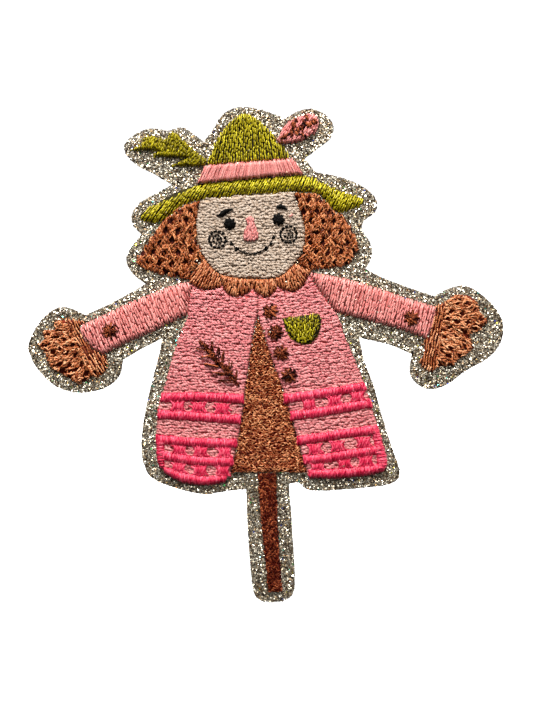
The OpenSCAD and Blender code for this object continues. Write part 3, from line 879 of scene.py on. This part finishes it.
def stitch_hat():
    """The crown, its band and brim, and the two feathers."""
    stitch("hat_crown", OLIVE, BLADE, laid(fan, (-2.6, 62), 28, 0.36, 1.1, tilt=0.06, loose=0.3), soft=0.9,
           bed=0.1)
    stitch("hat_band", PINK, HAIR, laid(rungs, BAND_SPINE, BAND_LEANS, 0.17, 3, ragged=0.2), soft=0.5,
           edge=0.6, bed=0.6, tone=0.08)
    stitch("hat_brim", OLIVE, QUILL,
           lambda area, rng: split(rungs(area, BRIM_SPINE, BRIM_LEANS, 0.34, 2.6, rng, 0.25), 1.3, rng),
           soft=1.6, edge=0.0, bed=0.1, power=2, tone=0.11)
    stitch("leaf_feather", OLIVE, BLADE,
           lambda area, rng: split(longer(satin(area, 72, 0.22, rng, 0.2), 0.05), 0.9, rng),
           soft=0.5, edge=0.15, bed=0.1, power=2, tone=-0.18)
    stitch("pink_feather", PINK, SLEEK, laid(fill, 62, 0.3, 1.6, tilt=0.08, loose=0.4))
    feather = front_area("pink_feather")
    stitch("pink_feather_veins", BROWN, CHUNKY,
           lambda area, rng: both(*[rungs(feather, vein, VEIN_LEANS, 0.24, 0.45, rng, 0.14)
                                    for vein in FEATHER_VEINS]),
           soft=0.3, inset=0.02, spread=0.06)


BAND_SPINE = [(-11.6, 28.3), (-7, 29.2), (-3, 29.9), (1, 30.6), (5.6, 30.8)]
BAND_LEANS = (62, 68, 76, 90, 108, 122)
BRIM_SPINE = [(-20.2, 21.8), (-17, 22.9), (-13, 25), (-8, 26.6), (0, 27.3), (6, 27.4), (9, 26.3),
              (12, 24.8), (15.6, 24.7)]
BRIM_LEANS = (52, 54, 58, 62, 64, 68, 62)
VEIN_LEANS = (95, 130)
FEATHER_VEINS = [
    [(2.3, 34.6), (4.6, 35.9), (6.4, 36.8), (7.9, 37.5)], [(4.1, 36), (4.4, 36.9), (4.9, 37.9)],
    [(5.8, 36.8), (6.2, 37.5), (6.7, 38.4)], [(4.6, 35.5), (5.5, 35.4), (6.4, 35.2)]
]


def stitch_head():
    """The hair, the face and all that is sewn on it."""
    for node in ("hair_left", "hair_right"):
        stitch(node, RUST, LOOSE, hair_plan, soft=0.8, edge=0.5, bed=0.1, spread=0.16)
    stitch("face", BEIGE, TWEED, laid(fill, FACE_LEAN, 0.39, 0.8, tilt=0.12, loose=0.4, shortest=0.3),
           soft=0.5)
    for node in ("eye_left", "eye_right"):
        stitch(node, BLACK, FINE, eye_plan, soft=0.5, inset=0.3)
    for node in ("brow_left", "brow_right"):
        stitch(node, BLACK, HAIRLINE, laid(satin, 60, 0.13, ragged=0.06), soft=0.4, inset=0.02)
    stitch("nose", ROSE, SLEEK,
           lambda area, rng: both(fill(area, 82, 0.26, 0.9, rng, tilt=0.06, shortest=0.3), STRAY_STITCH),
           soft=0.4, edge=0.6, bed=0.6, inset=0.1)
    stitch("mouth", BLACK, HAIRLINE, mouth_plan, soft=0.1, inset=0.1, bed=0.02)
    for node in ("cheek_left", "cheek_right"):
        stitch(node, BLACK, DASH, cheek_plan, soft=0.1, inset=0.1, bed=0.02)


def hair_plan(area, rng):
    """Crossed stitches that leave open holes, in a brick pattern."""
    return around(seeds(area, 0.34, 0.32, 1, 60, rng), brick(area, 2, 1.65, 0.2, rng), 0.31)


def eye_plan(area, rng):
    """Satin with a ragged rim of short spikes."""
    return both(longer(satin(area, 75, 0.22, rng, 0.1), -0.2), star(area.middle, 0.98, 8, rng))


def dot(place, radius, rng):
    """A knot of a few short stitches."""
    ways = [toward(angle + rng.uniform(-20, 20)) * radius for angle in (0, 60, 120)]
    return np.array([place - way for way in ways]), np.array([place + way for way in ways])


def mouth_plan(area, rng):
    """Running stitch along the smile, with thick dashes at its ends."""
    return both(running(MOUTH, 0.66, 0.1, rng), *[dash(*where, rng) for where in MOUTH_DASHES])


def dash(place, angle, rng):
    """A thick dash, of four strands side by side."""
    way, across = toward(angle) * 0.28, toward(angle + 90)
    asides = [across * aside + rng.uniform(-0.05, 0.05, 2) for aside in (-0.12, 0.12, -0.04, 0.05)]
    return np.array([place + a - way for a in asides]), np.array([place + a + way for a in asides])


def cheek_plan(area, rng):
    """Two rings of running stitch and a knot in the middle."""
    outer = running(ring(area.middle, 1.32), 0.5, 0.18, rng)
    inner = running(ring(area.middle, 0.62), 0.2, 0.3, rng)
    return both(outer, inner, dot(area.middle, 0.1, rng))


def ring(middle, radius):
    """A round path."""
    turn = np.linspace(0, 2 * math.pi, 25)
    return middle + radius * np.stack([np.cos(turn), np.sin(turn)], axis=1)


STRAY_STITCH = (np.array([(3.75, 22.2)]), np.array([(4.25, 22.6)]))  # of the nose's thread
MOUTH = [(-4.9, 17.3), (-4, 16.7), (-3.2, 16.4), (-2.4, 16.3), (-1.5, 16.4), (-0.6, 16.8), (0.1, 17.3)]
MOUTH_DASHES = [((-6.4, 18.3), 150), ((-5.5, 17.9), 145), ((-4.7, 17.1), 145), ((0.1, 17.1), 40),
                ((0.8, 17.9), 48), ((1.2, 18.9), 65)]


def stitch_collar():
    """Each scallop's rows fan out from a place of its own above it."""
    for number, (aside, far) in enumerate(((4, 8), (1, 7), (0, 7), (-3, 8)), start=1):
        stitch(f"collar_scallop_{number}", COPPER, SLEEK,
               lambda area, rng: fan(area, area.middle + (aside, far), far, 0.32, 1.5, rng, tilt=0.06),
               soft=0.8, edge=0.2, bed=0.3, tone=-0.04)


def stitch_arms():
    """The sleeves and the straw hands."""
    for node, angle in (("sleeve_left", 113), ("sleeve_right", 76)):
        stitch(node, PINK, WIDE, laid(fill, angle, 0.38, 2.3, stagger=0.3, loose=0.2, tilt=0.07), soft=1.1,
               edge=0.2, bed=0.55, inset=0.5)
    for node, shape in HANDS.items():
        stitch(node, STRAW_RUST, STRAW, laid(hand_plan, *shape), spread=0.1, bed=0.15, tone=0.04)


def hand_plan(area, cuff, apex, rng):
    """Straw: seeds that spread from an apex in the sleeve, and rows that bind them along the cuff's line."""
    cuff = np.asarray(cuff, float)
    spray = fanned(area, apex, 9, lambda flat_area: seeds(flat_area, 0.38, 0.28, 0.85, 22, rng))
    spray = around(spray, brick(area, 1.8, 1.4, 0.4, rng), 0.28)  # leaves holes in it
    way = cuff[1] - cuff[0]
    way /= np.linalg.norm(way)
    heading = math.degrees(math.atan2(way[1], way[0]))
    binding = thinned(fill(area, heading, 0.42, 1.3, rng, tilt=0.08, loose=0.4), 1.4, 0.95, 7)

    def from_cuff(stitches):
        away = (stitches[0] + stitches[1]) / 2 - cuff[0]
        return np.abs(away[:, 0] * way[1] - away[:, 1] * way[0])

    near, far = from_cuff(binding) < BINDING_REACH, from_cuff(spray) > SPRAY_START
    return both((binding[0][near], binding[1][near]), (spray[0][far], spray[1][far]))


BINDING_REACH, SPRAY_START = 2.7, 2.3  # how far they are from the cuff's line
HANDS = {  # two places on the cuff's line, and the apex
    "straw_hand_left": (((-29.4, 5.6), (-25.6, -1.8)), (-23, 5)),
    "straw_hand_right": (((26.6, 7.6), (24.9, -1.6)), (21, 6))
}


def stitch_buttons():
    names = ["cuff_button_left", "cuff_button_right"] + [f"coat_button_{n}" for n in range(1, 5)]
    for node in names:
        stitch(node, BROWN, KNOT, button_plan, soft=0.9, inset=0.4, bed=0.2, spread=0.1, tone=-0.12)


def button_plan(area, rng):
    """Spokes, with crossed stitches over them."""
    return both(star(area.middle, 1.28, 9, rng), seeds(area, 0.38, 0.34, 0.6, 50, rng))


def stitch_coat():
    """The coat's two fronts, the dress between them, and what is sewn on them."""
    for node, lean in (("coat_left", LEFT_LEAN), ("coat_right", RIGHT_LEAN)):
        stitch(node, COAT_PINK, TWEED, laid(fill, lean, 0.4, 1.0, tilt=0.11, loose=0.4))
    stitch("dress", METALLIC, GRAIN, laid(seeds, 0.38, 0.3, 0.5, 30), bed=0.35, tone=0.06)
    stitch("pocket", OLIVE, BLADE, laid(fan, (5, -6), 10, 0.28, 0.9, tilt=0.04, loose=0.3), soft=1.5,
           edge=0.1, bed=0.35, power=2, tone=-0.08)
    stitch("wheat_sprig", BROWN, WISP, sprig_plan, soft=0.3, inset=0.3, bed=0.05, spread=0.12, tone=-0.04)


def sprig_plan(area, rng):
    """Ragged strands side by side for each straw, and tangled short stitches all down the stem."""
    start, end = [], []
    for a, b in np.array(SPRIG_STRAWS):
        across = left_of((b - a) / np.linalg.norm(b - a))
        for aside in (-0.12, 0.12):
            start.append(a + across * aside + rng.uniform(-0.16, 0.16, 2))
            end.append(b + across * aside + rng.uniform(-0.16, 0.16, 2))
    for middle, heading, share in zip(*walk(SPRIG_SPINE, 0.075)):
        half = toward(heading + rng.uniform(-55, 55)) * rng.uniform(0.25, 0.5)
        middle = middle + rng.uniform(-1, 1, 2) * (0.16 + 0.22 * share)
        start.append(middle - half)
        end.append(middle + half)
    return np.array(start), np.array(end)


SPRIG_SPINE = [(-10.6, 2.4), (-8.8, 0.4), (-8, -0.9), (-6.7, -1.8), (-5.9, -2.8), (-4.8, -4.4)]
SPRIG_STRAWS = [
    [(-11.4, 1.2), (-9.6, 0.7)], [(-8.6, 2.3), (-8.8, 0.6)], [(-7.5, 1.4), (-7.7, -0.2)],
    [(-10.4, -0.3), (-8.6, 0)], [(-6.7, 0.8), (-6.9, -1)], [(-9.8, -1.3), (-7.6, -1.8)],
    [(-5.7, -0.9), (-5.9, -2.2)], [(-8.7, -3), (-6.2, -2.9)], [(-4.7, -2.4), (-4.9, -4)],
    [(-7.7, -4.1), (-5.4, -4.1)]
]


def stitch_plaid():
    """The coat's stripes, its framed hem, and the checks between them."""
    for node, spines in STRIPES.items():
        lean = 98 if node.endswith("left") else 104
        stitch(node, HOT_PINK, SLEEK, laid(stripe_plan, spines, lean, UPRIGHTS.get(node, [])), soft=1.0,
               edge=0.0, bed=0.2, power=1.9)
    for node in ("upper_checks_left", "upper_checks_right", "hem_checks_left", "hem_checks_right"):
        lean = 92 if node.endswith("left") else 97
        stitch(node, HOT_PINK, SLEEK, laid(checks_plan, lean), soft=0.4, inset=0.1, bed=0.2)


def stripe_plan(area, spines, lean, uprights, rng):
    """A satin roll along each spine, over the one along the upright."""
    across = [rungs(area, spine, (lean,), 0.2, STRIPE_REACH, rng, 0.1) for spine in spines]
    upright = [rungs(area, spine, (5,), 0.2, STRIPE_REACH, rng, 0.1) for spine in uprights]
    return both(*upright, *across)


def checks_plan(area, lean, rng):
    """An hourglass of satin for each check."""
    found = []
    for loop in area.loops:
        check = Area([loop])
        found.append(hourglass(longer(satin(check, lean, 0.2, rng, 0.1), 0.35), check, 0.45, 0.1))
    return both(*found)


STRIPE_REACH = 0.95
STRIPES = {
    "upper_stripes_left": [[(-17, -6.8), (-12, -6.6), (-8, -6.7), (-3.5, -7)],
                           [(-17.6, -9.4), (-12, -9.7), (-8, -10), (-4, -10.3)]],
    "upper_stripes_right": [[(2.8, -7), (7, -6.4), (12, -5.6), (16, -4.9)],
                            [(3.9, -9.7), (8, -9.2), (12, -8.5), (16.9, -7.6)]],
    "hem_frame_left": [[(-17.8, -13.4), (-13, -13.8), (-9, -14), (-4.7, -14.1)],
                       [(-16.6, -16), (-12, -16.8), (-9, -17), (-5.3, -17)],
                       [(-17.2, -18.3), (-14, -19.4), (-10, -20.1), (-6.2, -19.9)]],
    "hem_frame_right": [[(5, -13.7), (9, -13.1), (13, -12.4), (18.2, -11.9)],
                        [(6, -16.8), (10, -16.4), (14, -15.7), (17.8, -15.2)],
                        [(6.8, -19), (10, -19), (14, -18.7), (19, -18)]]
}
UPRIGHTS = {"hem_frame_left": [[(-17, -14), (-17.1, -16), (-16.9, -18.4)]],
            "hem_frame_right": [[(17.7, -12), (18.3, -15), (18.7, -18)]]}


def stitch_pole():
    stitch("pole", WINE, GRAIN, laid(seeds, 0.29, 0.28, 0.52, 50), bed=0.45, tone=-0.02)


# Base pieces

def build_base():
    """Film, stabiliser, cloth and glitter binder, each a closed sheet cut to the same outline."""
    outline = front_area("glitter_cloth")
    rng = np.random.default_rng([CHANCE, 1000])
    film_front = depth("adhesive_film")[1]
    stabiliser_front = depth("stabiliser")[1]
    cloth_back, cloth_front = depth("glitter_cloth")
    coat_back, coat_front = depth("glitter_coat")

    def sheet(node, slot, look, back, front, fray):
        piece = Piece()
        add_sheet(piece, outline, SHEET_GAP, back, front, rng, fray)
        made_sheet = piece.make(node + "_sheet", [look], slot, node)

    sheet("adhesive_film", "hot_melt_film", film_look(), uneven(0.08, 0.02, 5, 1), flat(film_front), 0.01)
    sheet("stabiliser", "stabiliser",
          cloth_look("stabiliser_felt", srgb(170, 166, 158), srgb(238, 236, 230), 0.3, 0.9),
          flat(film_front + CLEAR), flat(stabiliser_front), 0.04)
    sheet("glitter_cloth", "glitter_cloth",
          cloth_look("base_cloth", srgb(70, 66, 58), srgb(176, 170, 156), 0.25),
          flat(cloth_back + CLEAR), flat(cloth_front), 0.03)
    sheet("glitter_coat", "glitter", binder_look(), flat(coat_back + CLEAR),
          uneven(coat_front - 0.06, 0.04, 1.6, 2), 0.03)
    return outline, coat_front


SHEET_GAP = 0.7  # from one point of a sheet's mesh to the next
CLEAR = 0.01  # between one sheet and the next


def build_bobbin():
    """The bobbin rows behind the larger areas, which stand out under the film."""
    rng = np.random.default_rng([CHANCE, 3000])
    piece = Piece()
    for node, angle in BOBBIN_ROWS.items():
        lay_threads(piece, fill(front_area(node), angle, 0.58, 2.4, rng), flat(-0.01), BOBBIN, rng)
    look = thread_look("bobbin_under_film", srgb(176, 172, 162), srgb(222, 219, 211), srgb(240, 238, 232),
                       roughness=0.4, gloss=0.4)
    piece.make("bobbin_rows", [look], "bobbin_thread", "bobbin_thread", mirrored=True)


BOBBIN_ROWS = {
    "hat_crown": 84, "hat_band": 77, "hat_brim": 66, "leaf_feather": 72, "pink_feather": 62, "hair_left": 60,
    "hair_right": 120, "face": FACE_LEAN, "collar_scallop_1": 60, "collar_scallop_2": 80,
    "collar_scallop_3": 95, "collar_scallop_4": 115, "sleeve_left": 113, "sleeve_right": 76,
    "straw_hand_left": 120, "straw_hand_right": 80, "coat_left": LEFT_LEAN, "coat_right": RIGHT_LEAN,
    "dress": 1, "pole": 89
}

FLAKE_TINTS = [  # how many flakes in a hundred have each colour
    (44, (246, 236, 214)), (25, (186, 168, 140)), (17, (84, 66, 46)), (11, (134, 110, 80)),
    (1.6, (225, 190, 130)), (0.2, (90, 215, 195)), (0.25, (90, 200, 110)), (0.25, (225, 215, 80)),
    (0.25, (240, 165, 90)), (0.2, (100, 115, 215))
]


def build_glitter(outline, rise):
    """Loose-set flakes all over the cloth that shows, with a few strays on the threads."""
    rng = np.random.default_rng([CHANCE, 2000])
    across = np.arange(outline.low[0], outline.high[0], FLAKE_GAP)
    up = np.arange(outline.low[1], outline.high[1], FLAKE_GAP * 0.87)
    grid = np.array([(x + j % 2 * FLAKE_GAP / 2, z) for j, z in enumerate(up) for x in across])
    grid = grid + rng.uniform(-0.4, 0.4, grid.shape) * FLAKE_GAP
    grid = grid[outline.holds(grid)]
    covered = np.zeros(len(grid), bool)
    for area, _ in made:
        near = ((grid > area.low) & (grid < area.high)).all(axis=1) & ~covered
        spots = np.flatnonzero(near)
        under = spots[area.holds(grid[spots])]
        covered[under[area.edge_distance(grid[under]) > TUCKED]] = True
    grid = grid[~covered]
    shares = np.array([share for share, _ in FLAKE_TINTS])
    colours = np.array([srgb(*colour) for _, colour in FLAKE_TINTS])

    def tints(count):
        return colours[rng.choice(len(shares), count, p=shares / shares.sum())]

    grid_tints = tints(len(grid))
    look = glitter_look()

    def flakes(name, points, rises, widest, tinted, tilt):
        piece = Piece()
        add_flakes(piece, points, rises, rng.uniform(0.08, widest, len(points)), tinted, tilt, rng)
        piece.make(name, [look], "glitter", smooth=False)

    for side, mine in (("left", grid[:, 0] < 0), ("right", grid[:, 0] >= 0)):
        rises = rise + rng.uniform(-0.08, 0.1, mine.sum())
        flakes("glitter_flakes_" + side, grid[mine], rises, 0.15, grid_tints[mine], FLAKE_TILT)
    strays = rng.uniform(outline.low, outline.high, (STRAYS, 2))
    tops = np.max([np.where(area.holds(strays), front, 0) for area, front in made], axis=0)
    strays, tops = strays[tops > 0], tops[tops > 0]
    flakes("stray_flakes", strays, tops - 0.02, 0.14, tints(len(strays)), STRAY_TILT)


FLAKE_GAP = 0.18
TUCKED = 0.3  # how far flakes go on under the stitching's edge
FLAKE_TILT, STRAY_TILT = 0.22, 0.3
STRAYS = 160


# Stage, light and camera

def build_stage():
    """A pale floor that curves up into a wall all round, and glows a little."""
    s = Shader("backdrop", Base_Color=srgb(240, 240, 240), Roughness=1.0, Specular_IOR_Level=0.0,
               Emission_Color=srgb(255, 255, 255), Emission_Strength=0.8)
    floor, wall, curve, top = -39.8 * MM, 0.95, 0.4, 1.6
    bends = [(wall - curve + curve * math.sin(a), floor + curve - curve * math.cos(a))
             for a in np.linspace(0, math.pi / 2, 12)]
    profile = [(0.0005, floor), (0.1, floor), (0.3, floor)] + bends + [(wall, top)]
    turns = 96
    places = [(r * math.cos(k * 2 * math.pi / turns), r * math.sin(k * 2 * math.pi / turns), z)
              for r, z in profile for k in range(turns)]
    faces = [(i * turns + k, i * turns + after, (i + 1) * turns + after, (i + 1) * turns + k)
             for i in range(len(profile) - 1) for k, after in zip(range(turns), [*range(1, turns), 0])]
    mesh = bpy.data.meshes.new("backdrop")
    mesh.from_pydata(places, [], faces + [tuple(range(turns))[::-1]])
    mesh.materials.append(s.material)
    for face in mesh.polygons:
        face.use_smooth = True
    backdrop = placed("backdrop", mesh)
    backdrop.visible_diffuse = False
    backdrop.visible_glossy = False


def add_light(name, place, size, power):
    """A square soft light that faces the patch. Its place and size are in metres."""
    data = bpy.data.lights.new(name, "AREA")
    data.size, data.energy = size, power
    light = placed(name, data)
    light.location = place
    light.rotation_euler = (Vector() - Vector(place)).to_track_quat("-Z", "Y").to_euler()


def build_lights():
    """The key above the front, softer light from the front and the side, and one behind for other views."""
    add_light("key", (-0.05, -0.25, 0.42), 0.2, 5.0)
    add_light("front", (0, -0.5, 0.36), 0.5, 1.75)
    add_light("side", (0.6, 0.08, 0.15), 0.3, 2.5)
    add_light("back", (0.1, 0.6, 0.4), 0.5, 5)
    world = bpy.data.worlds.new("studio")
    world.use_nodes = True
    world.node_tree.nodes["Background"].inputs["Color"].default_value = (1, 0.97, 0.94, 1)
    world.node_tree.nodes["Background"].inputs["Strength"].default_value = 0.1
    bpy.context.scene.world = world
    bpy.context.scene.view_settings.view_transform = "Standard"


def build_camera():
    """Square on to the patch, far enough away for the picture's height to be VIEW_HEIGHT mm."""
    data = bpy.data.cameras.new("camera")
    data.lens, data.sensor_width = 85, 36
    data.clip_start = 0.01
    camera = placed("camera", data)
    away = VIEW_HEIGHT * data.lens / data.sensor_width
    camera.location = (0.08 * MM, -(away + 2) * MM, 0)
    camera.rotation_euler = (math.pi / 2, 0, 0)
    bpy.context.scene.camera = camera


VIEW_HEIGHT = 113.8

build_camera()
build_lights()
build_stage()
stitch_hat()
stitch_head()
stitch_collar()
stitch_arms()
stitch_buttons()
stitch_coat()
stitch_plaid()
stitch_pole()
outline, rise = build_base()
build_bobbin()
build_glitter(outline, rise)
